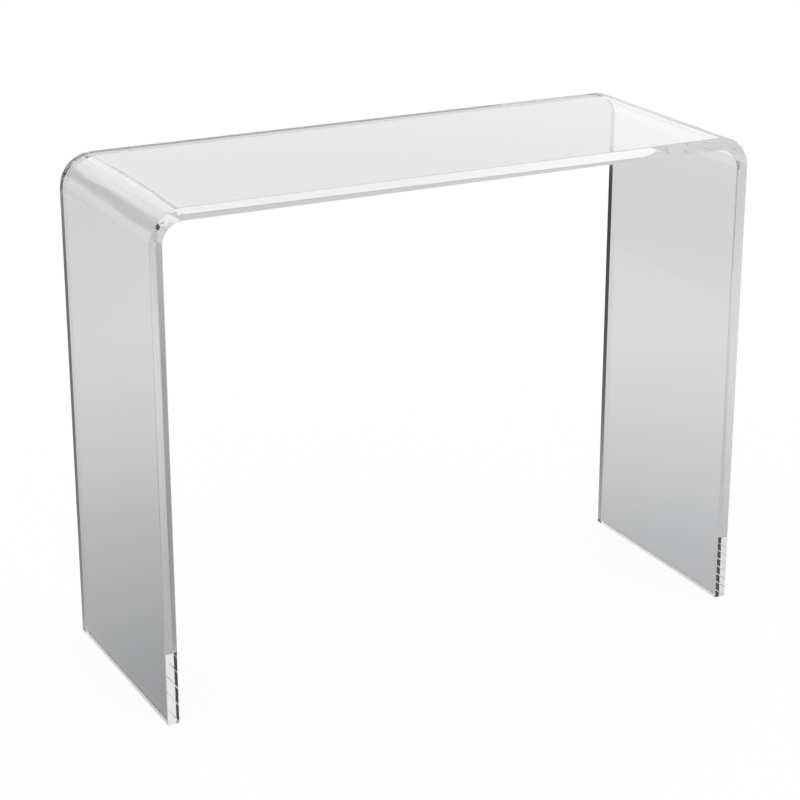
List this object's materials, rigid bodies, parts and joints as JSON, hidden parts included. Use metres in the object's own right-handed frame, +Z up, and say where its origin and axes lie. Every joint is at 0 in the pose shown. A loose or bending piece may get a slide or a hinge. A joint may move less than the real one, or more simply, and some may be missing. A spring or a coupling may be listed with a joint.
{
  "type": "acrylic console table",
  "caption": "Narrow waterfall console table heat-bent from one thick clear acrylic sheet, with rounded shoulders, slab legs and clear floor bumpers.",
  "frame": {"origin": "on the floor under the middle of the top, at the height of the bumpers' soles", "axes": "+Z up, +X along the table's width to the right as seen from the front, front towards -Y"},
  "size_m": [0.965, 0.355, 0.762],
  "materials": {
    "clear_acrylic": "polished",
    "clear_polyurethane": "satin"
  },
  "bodies": {
    "root": {"bent_acrylic_sheet": "clear_acrylic", "front_left_bumper": "clear_polyurethane", "front_right_bumper": "clear_polyurethane", "rear_left_bumper": "clear_polyurethane", "rear_right_bumper": "clear_polyurethane"}
  },
  "joints": []
}
